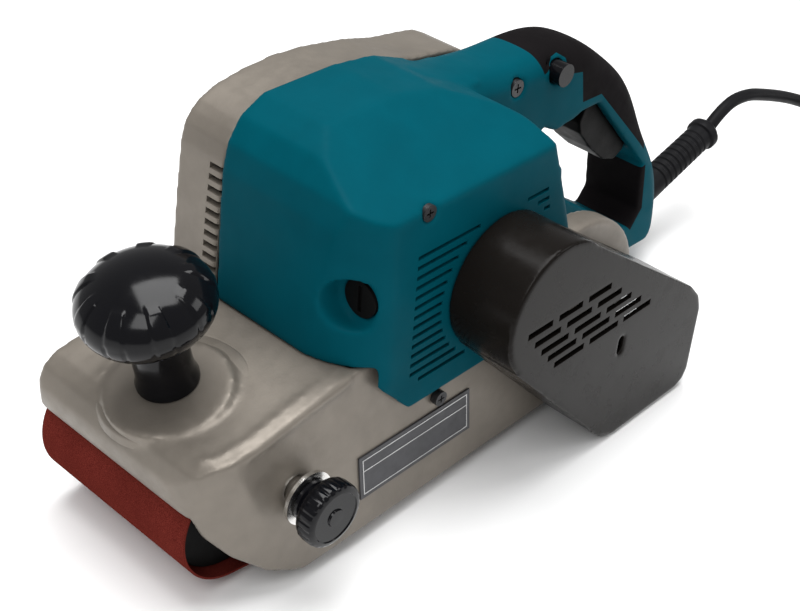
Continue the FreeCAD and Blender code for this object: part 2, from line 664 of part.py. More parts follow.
def make_far_cover():
    cover = new_body("far_cover")
    rest = "deck_top + 0.1"
    x, z = "motor_x", "motor_height"
    outline = [("house_front - 1", rest), ("house_front - 0.5", "106"), ("-53", "138"), ("-49.5", "163"),
               ("-47", "171"), ("-43", "176"), ("-38.5", "179.5"), ("-29.5", "183.5"), ("-14", "186"),
               ("4.5", "187.3"), ("23.5", "186"), ("50", "181.7"), ("70.5", "176.5"), ("88.5", "174"),
               ("100", "172"), ("108", "168"), ("115", "161"), ("119.5", "151"), ("122", "118"),
               ("118", rest)]
    pad_y(cover, "house_far", "cover_far", [outline])
    inner = [("-53.5", "97"), ("-52.8", "106"), ("-49.4", "138"), ("-46", "162"), ("-43.5", "169"),
             ("-37", "175.5"), ("-29", "179.8"), ("-14", "182.4"), ("4.5", "183.7"), ("23", "182.4"),
             ("49", "178.1"), ("70", "172.9"), ("97", "168.5"), ("109", "160"), ("116.5", "145"),
             ("118.5", "118"), ("115", "97")]
    cut_y(cover, "house_far - 1", "cover_far - 3", [inner])
    pad_y(cover, "36", "cover_far - 2.9", (), [((x, z), "17")])
    cut_y(cover, "35", "cover_far - 4.9", (), [((x, z), "13")])
    # cooling slots in the front wall and on the flush side
    front_slots = [box_points("house_far + 0.6", "house_far + 9", f"{108 + 5.5 * i}", f"{111 + 5.5 * i}")
                   for i in range(10)]
    cut_x(cover, "house_front - 3", "house_front + 11", front_slots)
    side_slots = [box_points(f"motor_x + {left}", f"motor_x + {left + 14}", f"{low}", f"{low + 3}")
                  for left in (-34, 20) for low in range(108, 150, 6)]
    cut_y(cover, "cover_far - 4", "cover_far + 1", side_slots)
    for x, z in cover_screw_places():
        cut_y(cover, "cover_far - 4", "cover_far + 1", (), [((str(x), str(z)), "1.65")])
    return cover


# ---------------------------------------------------------------- hood over the drive train
def plane_face(points):
    """A flat face in X and Z through pairs of sizes."""
    ends = [Vector(x, 0, z) for x, z in points]
    ends.append(ends[0])
    return Part.Face(Part.makePolygon(ends))


def disc_face(radius, x, z):
    return Part.Face(Part.Wire(Part.makeCircle(radius, Vector(x, 0, z), Vector(0, 1, 0))))


def slab(face, low, high):
    """The face pulled out between two Y values."""
    body = face.extrude(Vector(0, high - low, 0))
    body.translate(Vector(0, low, 0))
    return body


def hood_block(inset, low, high):
    """The hood's outer form, drawn in by an inset, between two Y values: a round cup and a long tail."""
    reach = size("roller_reach")
    cup = disc_face(size("hood_radius") - inset, size("counter_x"), size("counter_height"))
    tail = plane_face([(55.5, 137.9), (11.5, 86.4), (89, 6.5), (100, 1.5), (158, 1.5), (164, 4), (167, 10),
                       (reach + 64, 50), (163.5, 59), (155, 68.2)])
    if inset:
        tail = tail.makeOffset2D(-inset)
    return slab(cup, low, high).fuse(slab(tail, low, high)).removeSplitter()


def hood_slots():
    """Five staggered rows of cooling slots through the face."""
    low_edges = (104.3, 97.2, 90.2, 83.7, 77.2)
    slots = []
    for row, low in enumerate(low_edges):
        left = 15 + 5.8 * row
        right = 76 + 9.5 * row
        gap = 4.5
        length = (right - left - 2 * gap) / 3
        for i in range(3):
            start = left + i * (length + gap)
            slots.append(plane_face([(start, low), (start + length, low), (start + length, low + 3.5),
                                     (start, low + 3.5)]))
    return slots


def make_hood():
    face, wall = size("hood_face"), size("hood_wall")
    hood = hood_block(0, face, size("house_near") + 4)
    hood = hood.cut(hood_block(wall, face + wall, 0))
    # back rim: along the housing's side above, along the leaning flank below
    foot = size("flank_face") - 0.3
    lean = size("flank_rise")
    step = 61.5
    beside = size("house_near") - 0.15
    behind = Part.makePolygon([Vector(0, foot - lean * 10, -10), Vector(0, foot + lean * step, step),
                               Vector(0, beside, step), Vector(0, beside, 160),
                               Vector(0, 0, 160), Vector(0, 0, -10), Vector(0, foot - lean * 10, -10)])
    hood = hood.cut(Part.Face(behind).extrude(Vector(220, 0, 0)))
    # the lower edge rises towards the casting
    wedge = Part.makePolygon([Vector(0, face + 3, 1), Vector(0, foot + 3, 10), Vector(0, foot + 3, -5),
                              Vector(0, face + 3, -5), Vector(0, face + 3, 1)])
    hood = hood.cut(Part.Face(wedge).extrude(Vector(220, 0, 0)))
    for slot in hood_slots():
        hood = hood.cut(slab(slot, face - 1, face + wall + 1))
    for oval in (disc_face(1.8, 94, 58.5), disc_face(1.8, 94, 65.5),
                 plane_face([(92.2, 58.5), (95.8, 58.5), (95.8, 65.5), (92.2, 65.5)])):
        hood = hood.cut(slab(oval, face - 1, face + wall + 1))
    # chip notches along the rear upper edge
    for i in range(5):
        x = 106 + 4.6 * i
        z = 137.9 - 0.70 * (x - 55.5)
        notch = Part.makeBox(2.2, 14, 6, Vector(x, size("house_near") - 16, z - 4))
        hood = hood.cut(notch)
    # outer bearing seat of the countershaft, hung from the face
    seat = cylinder_y(10.5, face + wall - 0.1, -96.3, size("counter_x"), size("counter_height"))
    hood = hood.fuse(seat).cut(cylinder_y(8, -99.1, -96, size("counter_x"), size("counter_height")))
    solid("belt_hood", hood.removeSplitter())


# ---------------------------------------------------------------- handle
# where the cord's guard leaves the handle, and the way it points
GUARD_ROOT = Vector(245.04, -2, 30.72)
GUARD_AXIS = (0.96, 0, 0.28)
# the back of the handle from the housing's roof over the grip to the foot, in X and Z
GRIP_BACK = [(20, 187), (47, 185.2), (61, 181.8), (76, 179.8), (90, 178.2), (111, 177.4), (127, 177.2),
             (143, 175.4), (157, 171), (169, 164), (184, 153), (199.5, 139.5), (212.5, 122.5), (225, 101.5),
             (238, 82), (247, 67), (253, 49), (255.5, 32), (256, 10), (255, -12)]
# from the foot along the casting and the housing, back up to the roof
GRIP_FRONT = [(255.6, 32), (250.5, 24), (243.5, 18.5), (205, 20), (160, 30), (147.5, 42), (147, 55),
              (142.6, 74), (129.3, 89), (106, 95.6), (97.5, 95.6), (94.2, 108), (86.4, 130), (69, 175.6),
              (60.4, 180.4), (47, 185.3)]
# the hole that the fingers go through
GRIP_OPENING = [(125, 136), (136, 130), (152, 132), (158, 134), (172.6, 134), (227, 76), (231, 45), (223, 35),
                (200, 50), (160, 78), (130, 100), (112, 120)]
# what the soft rubber covers, and its lining of the opening below the trigger
RUBBER_OUTLINE = [(109, 200), (190, 200), (270, 120), (234, 94.5), (224.5, 87), (172, 139.5), (156, 140),
                  (152, 158.5), (140, 161), (138, 170), (133, 173.5), (128, 173), (125, 168), (120, 167)]
LINING_OUTLINE = [(226.9, 75.5), (230.8, 45.1), (222.9, 35.2), (221.2, 37), (228.5, 45.4), (224.6, 74.8)]


def drawn_in(points, inset):
    """The points of an open line moved to its right by an inset."""
    moved = []
    for i, (x, z) in enumerate(points):
        before, after = points[max(i - 1, 0)], points[min(i + 1, len(points) - 1)]
        along = Vector(after[0] - before[0], 0, after[1] - before[1]).normalize()
        moved.append((x + along.z * inset, z - along.x * inset))
    return moved


def grip_block(inset):
    """The handle's outer form drawn in by an inset, with both long edges of its back rounded."""
    near, far = size("grip_near") + inset, size("grip_far") - inset
    radius = size("grip_round") - inset
    steps = 4
    stations = []
    for i in range(steps + 1):
        turn = math.pi / 2 * i / steps
        stations.append((near + radius * (1 - math.cos(turn)), radius * (1 - math.sin(turn))))
    stations += [(near + far - y, depth) for y, depth in reversed(stations)]
    below = -60
    sections = []
    for y, depth in stations:
        points = [Vector(x, y, z) for x, z in drawn_in(GRIP_BACK, inset + depth)]
        curve = Part.BSplineCurve()
        curve.interpolate(points)
        ends = [points[-1], Vector(GRIP_FRONT[3][0], y, below), Vector(GRIP_BACK[0][0], y, below), points[0]]
        sides = [Part.LineSegment(a, b).toShape() for a, b in zip(ends, ends[1:])]
        sections.append(Part.Wire([curve.toShape()] + sides))
    block = Part.makeLoft(sections, True, False)
    above = [(47, 250), (300, 250), (300, 32)]
    return block.common(slab(plane_face(above + GRIP_FRONT), near - 10, far + 10))


def make_handle():
    near, far = size("grip_near"), size("grip_far")
    middle = (near + far) / 2
    wall = size("grip_wall")
    opening = slab(plane_face(GRIP_OPENING), near - 1, far + 1)
    loop = grip_block(0).cut(opening)
    rubber = slab(plane_face(RUBBER_OUTLINE), near - 1, far + 1)
    skin = loop.common(rubber).cut(grip_block(size("rubber_thick")))
    loop = loop.cut(skin)
    # hollow of the grip for the switch and its leads
    room = plane_face([(84, 171), (126, 171), (142, 169), (155, 165), (166, 158.5), (180, 148),
                       (195, 134.5), (208, 117), (217, 101), (218, 91), (175.5, 137.4), (158, 138.2),
                       (138, 134.5), (126, 140), (100, 160)])
    loop = loop.cut(slab(room, near + wall, far - wall))
    # way in for the cord's guard
    axis = Vector(*GUARD_AXIS).normalize()
    loop = loop.cut(Part.makeCylinder(7, 30, GUARD_ROOT - axis * 28, axis))
    loop = loop.cut(Part.makeCylinder(9.3, 30, GUARD_ROOT - axis * 0.1, axis))
    # window of the trigger and bores of the lock button and of the screws
    window = turned_slab([(-6, 1.5), (0.5, 1.5), (0.5, 62.5), (-6, 62.5)], middle - 13, middle + 13)
    loop = loop.cut(window)
    skin = skin.cut(window)
    loop = loop.cut(cylinder_y(6.2, near - 1, near + wall + 5.5, 131, 165))
    skin = skin.cut(cylinder_y(9.5, near - 1, near + wall + 1, 131, 165))
    for x, z in handle_screw_places():
        loop = loop.cut(cylinder_y(4.6, near - 1, near + 5, x, z))
        loop = loop.cut(cylinder_y(1.6, near, far - 3, x, z))
    covers = []
    joint = 0.02
    sides = (("handle_near", near - 5, middle - joint), ("handle_far", middle + joint, far + 5))
    for label, low, high in sides:
        side = Part.makeBox(300, high - low, 300, Vector(0, low, -20))
        half = loop.common(side).removeSplitter()
        solid(label, max(half.Solids, key=lambda piece: piece.Volume))
        cover = skin.common(side).removeSplitter()
        covers.append(max(cover.Solids, key=lambda piece: piece.Volume))
    lining = slab(plane_face(LINING_OUTLINE), near + 0.3, far - 0.3)
    solid("grip_rubber", Part.makeCompound(covers + [lining]))


TRIGGER_PIVOT = (179.52, 131.3)


def handle_screw_places():
    return [(100, 166), (206, 34)]


def turned_slab(points, low, high):
    """A slab drawn beside the trigger line: pairs of depth into the opening and way along the line."""
    start, end = Vector(172.6, 0, 134), Vector(227, 0, 76)
    along = (end - start).normalize()
    out = Vector(along.z, 0, -along.x)
    places = [start + along * way + out * depth for depth, way in points]
    return slab(plane_face([(p.x, p.z) for p in places]), low, high)


def make_switch_group():
    near, middle = size("grip_near"), (size("grip_near") + size("grip_far")) / 2
    paddle = turned_slab([(-1.5, 3), (6, 2.4), (13, 5), (16.5, 12), (17, 30), (15, 48), (10, 58), (2, 60.6),
                          (-1.5, 59)], middle - 12.7, middle + 12.7)
    # round pivot just inside the window, on a short neck
    neck = turned_slab([(-3.2, 5), (-1.4, 5), (-1.4, 8.4), (-3.2, 8.4)], middle - 12.7, middle + 12.7)
    pivot = cylinder_y(1.8, middle - 12.7, middle + 12.7, *TRIGGER_PIVOT)
    solid("trigger", paddle.fuse([neck, pivot]).removeSplitter())
    switch = Part.makeBox(34, 24, 17, Vector(121, middle - 12, 144.5))
    switch = switch.fuse(Part.makeCylinder(2.5, 5, Vector(154.9, middle, 152), Vector(1, 0, 0)))
    solid("switch_body", switch)
    button = cylinder_y(6, near - 5, near + 4.8, 131, 165)
    solid("lock_button", button)
    screws("handle_screws", [((x, near + 3.2, z), (0, 1, 0)) for x, z in handle_screw_places()],
           4.4, 2.6, 1.55, 26)


# ---------------------------------------------------------------- knob, plate and screws
def make_front_knob():
    tilt = FreeCAD.Placement(Vector(size("knob_x"), size("knob_y"), size("knob_foot")),
                             Rotation(Vector(0, 1, 0), -size("knob_lean")))
    half_height, centre, stem = 18.2, 46.0, 13.0
    steps = 14
    profile = [(0, 30), (4.05, 30), (4.05, 0), (16, 0), (16.5, 3), (stem + 0.5, 7), (stem, 12)]
    start = math.acos(stem / size("knob_radius"))
    for i in range(steps + 1):
        turn = -start + (math.pi / 2 + start) * i / steps
        profile.append((size("knob_radius") * math.cos(turn), centre + half_height * math.sin(turn)))
    profile[-1] = (0, centre + half_height)
    face = plane_face(profile)
    knob = face.revolve(Vector(0, 0, 0), Vector(0, 0, 1), 360)
    solid("front_knob", knob, tilt)
    stud = Part.makeCylinder(4, 42.5, Vector(0, 0, -13)).fuse(Part.makeCylinder(7, 4.2, Vector(0, 0, -13.8)))
    solid("knob_stud", stud, tilt)


def make_nameplate():
    plate = Part.makeBox(75, 0.8, 23, Vector(-48.3, -0.85, 0))
    lean = math.degrees(math.atan(size("flank_rise")))
    spot = Vector(0, size("flank_face") + size("flank_rise") * 26, 26)
    solid("nameplate", plate, FreeCAD.Placement(spot, Rotation(Vector(1, 0, 0), -lean)))


def make_screws():
    screws("housing_screws", [((-14.5, -67.0, 165), (0, 1, 0))], 3.9, 2.2, 1.6, 6)
    outside = size("cover_far") + 0.02
    places = [((x, outside, z), (0, -1, 0)) for x, z in cover_screw_places()]
    screws("cover_screws", places, 3.9, 2.2, 1.6, 2.5)
    screws("foot_bolt", [((4, -66.02, 56), (0, 1, 0))], 3.8, 3.5, 1.9, 5)


# ---------------------------------------------------------------- mains cord
# centre line of the cord from the guard to the coil and from the coil to the plug
CORD_ROUTE = [(327.6, -2, 54.8), (343, -2, 66), (366, -3, 67), (392, -4, 58.5), (419, -6, 48.5),
              (445, -10, 36.5), (469, -16, 23.5), (491, -24, 11.5), (511, -32.5, 5.0), (531.5, -41.6, 4.3)]
TAIL_ROUTE = [(512, -150, 12), (490, -150, 11.2), (466, -149.5, 9), (444, -150, 7.1), (424, -151, 7)]
COIL_CENTRE = (507, -92)
COIL_OUTER, COIL_INNER = 58.0, 26.0


def bent_path(points):
    """Straight runs joined by the largest tangent arcs; returns the wire and prints the radii."""
    ends = [Vector(*p) for p in points]
    edges = []
    here = ends[0]
    radii = []
    for before, corner, after in zip(ends, ends[1:], ends[2:]):
        into = (corner - before).normalize()
        out = (after - corner).normalize()
        half = into.getAngle(out) / 2
        reach = 0.45 * min(corner.distanceToPoint(before), corner.distanceToPoint(after))
        radii.append(reach / math.tan(half))
        first, last = corner - into * reach, corner + out * reach
        inward = (out - into).normalize()
        peak = corner + inward * (radii[-1] / math.cos(half) - radii[-1])
        edges.append(Part.LineSegment(here, first).toShape())
        edges.append(Part.Arc(first, peak, last).toShape())
        here = last
    edges.append(Part.LineSegment(here, ends[-1]).toShape())
    print("bend radii", [round(r) for r in radii])
    return Part.Wire(edges)


def cord_tube(points):
    radius = size("cord_diameter") / 2
    wire = bent_path(points)
    start = Vector(*points[0])
    heading = Vector(*points[1]) - start
    section = Part.Wire(Part.makeCircle(radius, start, heading))
    tube = wire.makePipeShell([section], True, False)
    expected = math.pi * radius ** 2 * wire.Length
    print("tube length", round(wire.Length, 1), "volume against section times length",
          round(tube.Volume / expected, 4))
    return tube


def make_cord():
    axis = Vector(*GUARD_AXIS).normalize()
    length = (Vector(*CORD_ROUTE[0]) - GUARD_ROOT).Length
    stations = [(0, 9.2), (40, 9), (78, 8.6), (78.5, 10.2), (83.5, 10.2), (84.5, 9), (length, 8)]
    profile = [(0, 0)] + [(radius, way) for way, radius in stations] + [(0, length)]
    guard = plane_face(profile).revolve(Vector(0, 0, 0), Vector(0, 0, 1), 360)
    spigot = Part.makeCylinder(6.9, 20, Vector(0, 0, -19.9))
    solid("cord_guard", guard.fuse(spigot), FreeCAD.Placement(GUARD_ROOT, Rotation(Vector(0, 0, 1), axis)))
    solid("mains_cord", Part.makeCompound([cord_tube(CORD_ROUTE), cord_tube(TAIL_ROUTE)]))
    diameter = size("cord_diameter")
    x, y = COIL_CENTRE
    coil = Part.makeCylinder(COIL_OUTER + diameter / 2, 2 * diameter, Vector(x, y, 0.02))
    solid("cord_coil", coil.cut(Part.makeCylinder(COIL_INNER - diameter / 2, 3 * diameter, Vector(x, y, -1))))
    end = Vector(*TAIL_ROUTE[-1])
    grip = Part.makeBox(34, 26, 14, Vector(end.x - 34, end.y - 13, 0.02))
    face = Part.makeBox(4, 35, 14, Vector(end.x - 38, end.y - 17.5, 0.02))
    solid("plug_body", grip.fuse(face).removeSplitter())
    pins = [Part.makeCylinder(2.0, 19, Vector(end.x - 38, end.y + side * 9.5, 7), Vector(-1, 0, 0))
            for side in (-1, 1)]
    solid("plug_pins", Part.makeCompound(pins))


# ---------------------------------------------------------------- build, check and write
for make in (make_main_frame, make_belt, make_platen, make_front_roller, make_tension_lever,
             make_drive_drum, make_tracking, make_motor, make_train, make_motor_housing, make_far_cover,
             make_hood, make_handle, make_switch_group, make_front_knob, make_nameplate, make_screws,
             make_cord):
    make()
doc.recompute()

problems = [f"{item.Label}: {item.State}" for item in doc.Objects if {"Invalid", "Error"} & set(item.State)]
for label, feature in parts.items():
    shape = feature.Shape
    if shape.isNull() or not shape.isValid() or not shape.Solids:
        problems.append(f"{label}: bad shape")
        continue
    box = shape.BoundBox
    print(f"{label:24s} {len(shape.Solids):3d} {shape.Volume:12.1f}  x {box.XMin:7.1f} {box.XMax:7.1f}"
          f"  y {box.YMin:7.1f} {box.YMax:7.1f}  z {box.ZMin:7.1f} {box.ZMax:7.1f}")
if problems:
    raise SystemExit("\n".join(problems))

os.makedirs("parts", exist_ok=True)
for label, feature in parts.items():
    feature.Shape.exportStep(f"parts/{label}.step")
print(len(parts), "parts written")
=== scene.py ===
import json
import math
import bmesh
import bpy
from mathutils import Matrix, Vector


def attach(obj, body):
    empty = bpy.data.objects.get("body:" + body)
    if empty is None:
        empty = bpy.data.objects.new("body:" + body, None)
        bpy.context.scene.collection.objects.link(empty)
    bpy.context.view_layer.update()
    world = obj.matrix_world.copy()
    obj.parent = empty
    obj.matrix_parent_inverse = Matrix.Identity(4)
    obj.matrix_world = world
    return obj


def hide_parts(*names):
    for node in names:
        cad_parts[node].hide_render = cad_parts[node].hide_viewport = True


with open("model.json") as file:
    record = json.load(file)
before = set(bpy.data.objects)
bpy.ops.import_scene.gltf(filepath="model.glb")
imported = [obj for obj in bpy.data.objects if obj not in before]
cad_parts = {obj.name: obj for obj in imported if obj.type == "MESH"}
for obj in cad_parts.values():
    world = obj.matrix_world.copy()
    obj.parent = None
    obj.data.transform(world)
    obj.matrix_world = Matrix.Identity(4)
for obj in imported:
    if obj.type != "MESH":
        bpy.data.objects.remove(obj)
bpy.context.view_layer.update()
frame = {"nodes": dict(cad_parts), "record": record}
nodes = frame["nodes"]
record = frame["record"]
body_of = {node: body for body, members in record["behaviour"]["bodies"].items() for node in members}
slot_of = {entry["node"]: entry["material_slot"] for entry in record["subparts"]}
MM = 0.001


# ---------------------------------------------------------------- camera
def add_camera():
    place = Vector((-409.6, -401.0, 483.3)) * MM
    azimuth, elevation, roll = (math.radians(a) for a in (-48.88, 35.35, 4.03))
    forward = Vector((-math.sin(azimuth) * math.cos(elevation), math.cos(azimuth) * math.cos(elevation),
                      -math.sin(elevation)))
    level = forward.cross(Vector((0, 0, 1))).normalized()
    lift = level.cross(forward)
    right = level * math.cos(roll) + lift * math.sin(roll)
    above = lift * math.cos(roll) - level * math.sin(roll)
    data = bpy.data.cameras.new("camera")
    data.lens = 65.66
    data.sensor_width = 36
    data.clip_start = 0.02
    camera = bpy.data.objects.new("camera", data)
    turn = Matrix((right, above, -forward)).transposed().to_4x4()
    camera.matrix_world = Matrix.Translation(place) @ turn
    bpy.context.scene.collection.objects.link(camera)
    bpy.context.scene.camera = camera


add_camera()
# plain colour response, so that a white floor comes out white
bpy.context.scene.view_settings.view_transform = "Standard"


# ---------------------------------------------------------------- mesh helpers
def add_piece(name, mesh, material, node, replaced=()):
    """A new piece that rides on the node's body and hides that node and any nodes it replaces."""
    piece = bpy.data.objects.new(name, mesh)
    bpy.context.scene.collection.objects.link(piece)
    piece.data.materials.clear()
    piece.data.materials.append(material)
    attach(piece, body_of[node])
    for hidden in (node, *replaced):
        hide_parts(hidden)
    return piece


def shade_smooth(mesh, angle=None):
    mesh.shade_smooth()
    if angle is not None:
        mesh.set_sharp_from_angle(angle=math.radians(angle))


def applied(piece):
    """Turn a piece's modifiers into plain mesh."""
    graph = bpy.context.evaluated_depsgraph_get()
    mesh = bpy.data.meshes.new_from_object(piece.evaluated_get(graph))
    old = piece.data
    piece.modifiers.clear()
    piece.data = mesh
    bpy.data.meshes.remove(old)
    return piece


def add_shapes(work, shapes):
    """Boxes, round bars and upright prisms (outlines in X and Z between two Y values)."""
    for kind, *sizes in shapes:
        {"box": add_box, "bar": add_tube, "prism": add_prism}[kind](work, *sizes)


def joined_mesh(name, node_names, shapes=()):
    """One mesh from copies of CAD nodes and of filling shapes."""
    work = bmesh.new()
    for node in node_names:
        work.from_mesh(nodes[node].data)
    add_shapes(work, shapes)
    mesh = bpy.data.meshes.new(name)
    work.to_mesh(mesh)
    work.free()
    return mesh


def add_prism(work, outline, low, high):
    rings = [[work.verts.new(Vector((x, y, z)) * MM) for x, z in outline] for y in (low, high)]
    for i in range(len(outline)):
        j = (i + 1) % len(outline)
        work.faces.new((rings[0][i], rings[0][j], rings[1][j], rings[1][i]))
    caps = [work.faces.new(rings[0]), work.faces.new(list(reversed(rings[1])))]
    bmesh.ops.triangulate(work, faces=caps)


def add_box(work, low, high):
    low, high = Vector(low) * MM, Vector(high) * MM
    corners = [work.verts.new((x, y, z))
               for x in (low.x, high.x) for y in (low.y, high.y) for z in (low.z, high.z)]
    for ring in ((0, 1, 3, 2), (4, 6, 7, 5), (0, 4, 5, 1), (2, 3, 7, 6), (0, 2, 6, 4), (1, 5, 7, 3)):
        work.faces.new([corners[i] for i in ring])


def softened(name, node_names, material, voxel, rounds, shapes=(), keep=0.45):
    """The CAD form with its edges rounded like a moulding or a casting."""
    mesh = joined_mesh(name, node_names, shapes)
    piece = add_piece(name, mesh, material, node_names[0], node_names[1:])
    remesh = piece.modifiers.new("remesh", "REMESH")
    remesh.mode = "VOXEL"
    remesh.voxel_size = voxel * MM
    smooth = piece.modifiers.new("smooth", "SMOOTH")
    smooth.factor = 0.5
    smooth.iterations = rounds
    thin = piece.modifiers.new("thin", "DECIMATE")
    thin.ratio = keep
    applied(piece)
    piece.data.materials.clear()
    piece.data.materials.append(material)
    shade_smooth(piece.data)
    return piece


def combined(piece, name, shapes, operation):
    """Cut shapes out of a piece, or keep only what lies inside them."""
    work = bmesh.new()
    add_shapes(work, shapes)
    bmesh.ops.recalc_face_normals(work, faces=work.faces)
    mesh = bpy.data.meshes.new(name)
    work.to_mesh(mesh)
    work.free()
    cutter = bpy.data.objects.new(name, mesh)
    bpy.context.scene.collection.objects.link(cutter)
    change = piece.modifiers.new("cut", "BOOLEAN")
    change.operation = operation
    change.solver = "EXACT"
    change.use_self = False
    change.object = cutter
    applied(piece)
    bpy.data.objects.remove(cutter)
    shade_smooth(piece.data, 35)


def cut_out(piece, name, shapes):
    combined(piece, name, shapes, "DIFFERENCE")


def add_tube(work, start, end, radius, sides=48):
    """A closed round bar between two points."""
    start, end = Vector(start) * MM, Vector(end) * MM
    axis = (end - start).normalized()
    across = axis.orthogonal().normalized()
    beside = axis.cross(across)
    rings = []
    for centre in (start, end):
        rings.append([work.verts.new(centre + (across * math.cos(2 * math.pi * i / sides)
                                               + beside * math.sin(2 * math.pi * i / sides)) * radius * MM)
                      for i in range(sides)])
    for i in range(sides):
        j = (i + 1) % sides
        work.faces.new((rings[0][i], rings[0][j], rings[1][j], rings[1][i]))
    work.faces.new(list(reversed(rings[0])))
    work.faces.new(rings[1])


def lathe(profile, origin, axis, sides=96, shape=None):
    """A mesh turned about an axis; the profile is pairs of radius and way along the axis, in millimetres.
    shape(radius, way, angle) may change the radius and way to give lobes."""
    origin, axis = Vector(origin) * MM, Vector(axis).normalized()
    across = axis.orthogonal().normalized()
    if abs(axis.z) > 0.5:
        across = (Vector((1, 0, 0)) - axis * axis.x).normalized()
    beside = axis.cross(across)
    work = bmesh.new()
    rings = []
    for radius, way in profile:
        if radius < 1e-6:
            rings.append([work.verts.new(origin + axis * way * MM)])
            continue
        ring = []
        for i in range(sides):
            turn = 2 * math.pi * i / sides
            r, w = shape(radius, way, turn) if shape else (radius, way)
            ring.append(work.verts.new(origin + axis * w * MM
                                       + (across * math.cos(turn) + beside * math.sin(turn)) * r * MM))
        rings.append(ring)
    for low, high in zip(rings, rings[1:]):
        for i in range(sides):
            j = (i + 1) % sides
            corners = [low[i % len(low)], low[j % len(low)], high[j % len(high)], high[i % len(high)]]
            unique = list(dict.fromkeys(corners))
            if len(unique) > 2:
                work.faces.new(unique)
    bmesh.ops.recalc_face_normals(work, faces=work.faces)
    mesh = bpy.data.meshes.new("lathe")
    work.to_mesh(mesh)
    work.free()
    return mesh


# ---------------------------------------------------------------- materials
class Paint:
    """A small helper that wires a procedural material."""

    def __init__(self, name, color, roughness, metallic=0.0, specular=0.5):
        self.material = bpy.data.materials.new(name)
        self.material.use_nodes = True
        self.tree = self.material.node_tree
        self.shader = self.tree.nodes["Principled BSDF"]
        self.shader.inputs["Base Color"].default_value = (*color, 1)
        self.shader.inputs["Roughness"].default_value = roughness
        self.shader.inputs["Metallic"].default_value = metallic
        self.shader.inputs["Specular IOR Level"].default_value = specular
        self.color, self.roughness = color, roughness
        self.place = self.tree.nodes.new("ShaderNodeTexCoord").outputs["Object"]

    def node(self, kind, **values):
        node = self.tree.nodes.new(kind)
        for key, value in values.items():
            node.inputs[key.replace("_", " ")].default_value = value
        return node

    def link(self, out, into):
        self.tree.links.new(out, into)

    def noise(self, scale, detail=4.0, stretch=None):
        noise = self.node("ShaderNodeTexNoise", Scale=scale, Detail=detail, Roughness=0.6)
        place = self.place
        if stretch:
            mapping = self.node("ShaderNodeMapping", Scale=stretch)
            self.link(place, mapping.inputs["Vector"])
            place = mapping.outputs["Vector"]
        self.link(place, noise.inputs["Vector"])
        return noise.outputs["Fac"]

    def ramp(self, source, low, high, start=0.35, end=0.65):
        ramp = self.tree.nodes.new("ShaderNodeValToRGB")
        ramp.color_ramp.elements[0].position = start
        ramp.color_ramp.elements[0].color = (*low, 1)
        ramp.color_ramp.elements[1].position = end
        ramp.color_ramp.elements[1].color = (*high, 1)
        self.link(source, ramp.inputs["Fac"])
        return ramp.outputs["Color"]

    def span(self, source, low, high, start=0.3, end=0.7):
        step = self.node("ShaderNodeMapRange")
        for key, value in (("From Min", start), ("From Max", end), ("To Min", low), ("To Max", high)):
            step.inputs[key].default_value = value
        self.link(source, step.inputs["Value"])
        return step.outputs["Result"]

    def mottled(self, scale, spread):
        """Slow colour change over the surface."""
        low = tuple(c * (1 - spread) for c in self.color)
        high = tuple(min(1.0, c * (1 + spread)) for c in self.color)
        color = self.ramp(self.noise(scale), low, high)
        self.link(color, self.shader.inputs["Base Color"])
        return color

    def uneven_gloss(self, scale, spread):
        gloss = self.span(self.noise(scale, 6.0), self.roughness - spread, self.roughness + spread)
        self.link(gloss, self.shader.inputs["Roughness"])

    def bump(self, sources, distance, strength=1.0):
        """Height from one or more sources, each with a weight."""
        total = None
        for source, weight in sources:
            scaled = self.node("ShaderNodeMath")
            scaled.operation = "MULTIPLY"
            scaled.inputs[1].default_value = weight
            self.link(source, scaled.inputs[0])
            if total is None:
                total = scaled.outputs[0]
                continue
            sum_node = self.node("ShaderNodeMath")
            self.link(total, sum_node.inputs[0])
            self.link(scaled.outputs[0], sum_node.inputs[1])
            total = sum_node.outputs[0]
        bump = self.node("ShaderNodeBump", Strength=strength, Distance=distance * MM)
        self.link(total, bump.inputs["Height"])
        self.link(bump.outputs["Normal"], self.shader.inputs["Normal"])


def moulded(name, color, roughness, grain=0.03, specular=0.15, spread=0.06, grain_scale=1400):
    """Moulded plastic: fine grain, a slow colour drift and uneven gloss."""
    paint = Paint(name, color, roughness, specular=specular)
    paint.mottled(28, spread)
    paint.uneven_gloss(90, min(0.08, roughness * 0.4))
    paint.bump([(paint.noise(grain_scale), 1.0), (paint.noise(60), 0.4)], grain)
    return paint.material


def cast_metal(name, color, roughness, metallic=0.75):
    """Tumbled aluminium casting: pebbled skin, darker and lighter patches."""
    paint = Paint(name, color, roughness, metallic, 0.35)
    paint.mottled(22, 0.10)
    paint.uneven_gloss(160, 0.08)
    paint.bump([(paint.noise(900), 1.0), (paint.noise(150), 1.2)], 0.05)
    return paint.material


def turned_metal(name, color, roughness, metallic=1.0):
    """Machined metal with fine tool marks."""
    paint = Paint(name, color, roughness, metallic)
    paint.mottled(70, 0.10)
    paint.uneven_gloss(240, roughness * 0.3)
    paint.bump([(paint.noise(500, 2.0, (1, 9, 1)), 1.0)], 0.02)
    return paint.material


